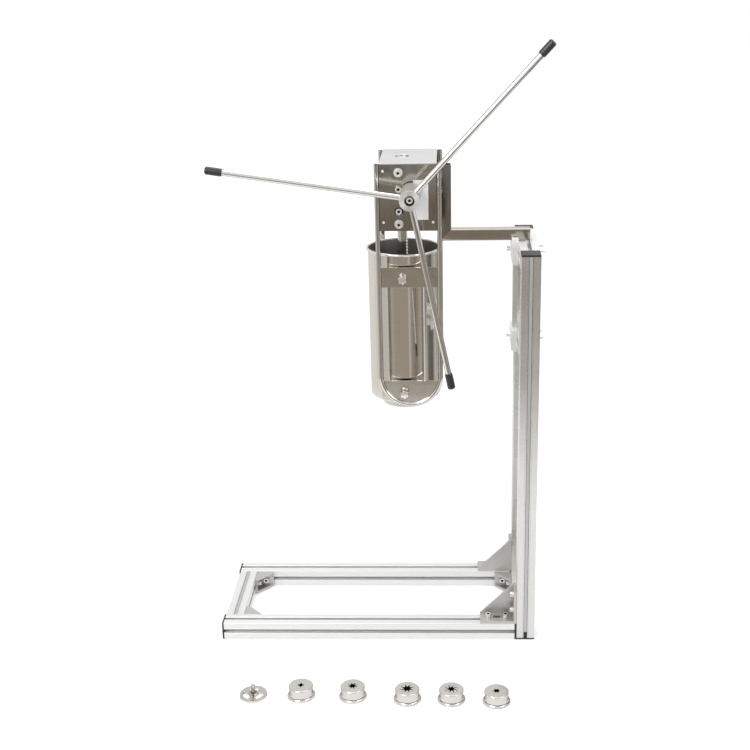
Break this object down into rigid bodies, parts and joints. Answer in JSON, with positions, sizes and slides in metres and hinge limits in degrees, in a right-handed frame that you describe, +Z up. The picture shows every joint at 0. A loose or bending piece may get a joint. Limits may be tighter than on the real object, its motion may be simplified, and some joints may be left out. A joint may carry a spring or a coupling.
{
  "type": "churro maker press on stand",
  "caption": "Hand-cranked dough press: a three-armed wheel drives a rack and piston down a steel barrel, hung from a slotted aluminium column with a rectangular base, with loose star nozzles.",
  "frame": {"origin": "on the floor under the middle of the column, at the slot in the right cross rail's underside", "axes": "+Z up, +Y away from the hand wheel, +X from the barrel toward the column; the stand, the hanger and the press reach away along -X"},
  "size_m": [0.7158, 0.5425, 1.2993],
  "materials": {
    "aluminium_profile": "clear anodised extrusion, fine lines along its length",
    "black_cap": "moulded black polyamide",
    "cast_bracket": "fine sand-blasted die casting",
    "zinc_screw": "bright zinc plated",
    "satin_tube": "satin stainless tube, weld seams polished bright",
    "machined_aluminium": "milled, lightly tumbled",
    "brushed_stainless": "brushed stainless plate, horizontal grain",
    "satin_cover": "satin stainless sheet",
    "white_acetal": "milled white acetal",
    "bronze": "turned bearing bronze",
    "label_blank": "bare printed-film blank",
    "turned_stainless": "turned stainless, fine rings",
    "polished_rod": "polished round stainless",
    "black_grip": "dipped black vinyl",
    "seal_rubber": "food-grade white silicone",
    "polished_plate": "polished stainless sheet",
    "polished_barrel": "mirror polished stainless",
    "nozzle_steel": "turned and polished stainless"
  },
  "bodies": {
    "stand": {"rail_front": "aluminium_profile", "rail_back": "aluminium_profile", "post_front": "aluminium_profile", "post_back": "aluminium_profile", "cross_rail_left": "aluminium_profile", "cross_rail_right": "aluminium_profile", "beam_upper": "aluminium_profile", "beam_lower": "aluminium_profile", "end_caps": "black_cap", "corner_brackets": "cast_bracket", "gusset_front": "cast_bracket", "gusset_back": "cast_bracket", "bracket_bolts": "zinc_screw", "slot_nuts": "zinc_screw", "shoe_screws": "zinc_screw", "through_bolts": "zinc_screw", "hanger_screws": "zinc_screw", "guide_screws": "zinc_screw", "gearbox_screws": "zinc_screw", "hanger_arm": "satin_tube", "hanger_upright": "satin_tube", "hanger_plate": "satin_tube", "leg_bar": "satin_tube", "clamp_shoe_upper": "machined_aluminium", "clamp_shoe_lower": "machined_aluminium", "wall_left": "brushed_stainless", "wall_right": "brushed_stainless", "plate_front": "brushed_stainless", "plate_back": "brushed_stainless", "plate_bottom": "brushed_stainless", "cover": "satin_cover", "guide_front": "white_acetal", "guide_back": "white_acetal", "shaft_bushes": "bronze", "label_plate": "label_blank", "ring_nut": "turned_stainless", "hoop_front": "polished_rod", "hoop_back": "polished_rod", "cradle_straps": "polished_plate", "toe_plates": "polished_plate", "barrel": "polished_barrel", "barrel_studs": "polished_barrel", "acorn_nuts": "polished_barrel", "core_disc": "nozzle_steel", "nozzle_small_cross": "nozzle_steel", "nozzle_small_star": "nozzle_steel", "nozzle_large_star": "nozzle_steel", "nozzle_medium_star": "nozzle_steel", "nozzle_fine_star": "nozzle_steel"},
    "wheel": {"pinion_shaft": "turned_stainless", "pinion": "turned_stainless", "hub": "turned_stainless", "hub_screw": "zinc_screw", "handle_rods": "polished_rod", "handle_grips": "black_grip", "shaft_collar": "turned_stainless"},
    "plunger": {"rack": "turned_stainless", "piston": "turned_stainless", "piston_seal": "seal_rubber", "piston_screw": "zinc_screw"}
  },
  "joints": [
    {"name": "wheel_spin", "type": "hinge", "parent": "stand", "child": "wheel", "pos_m": [-0.241, 0, 1], "axis": [0, 1, 0], "range_deg": [0, 1260]},
    {"name": "rack_slide", "type": "slide", "parent": "stand", "child": "plunger", "axis": [0, 0, 1], "range_m": [0, 0.2865]}
  ],
  "couplings": [
    {"joint": "rack_slide", "follows": "wheel_spin", "m_per_rad": 0.013}
  ]
}
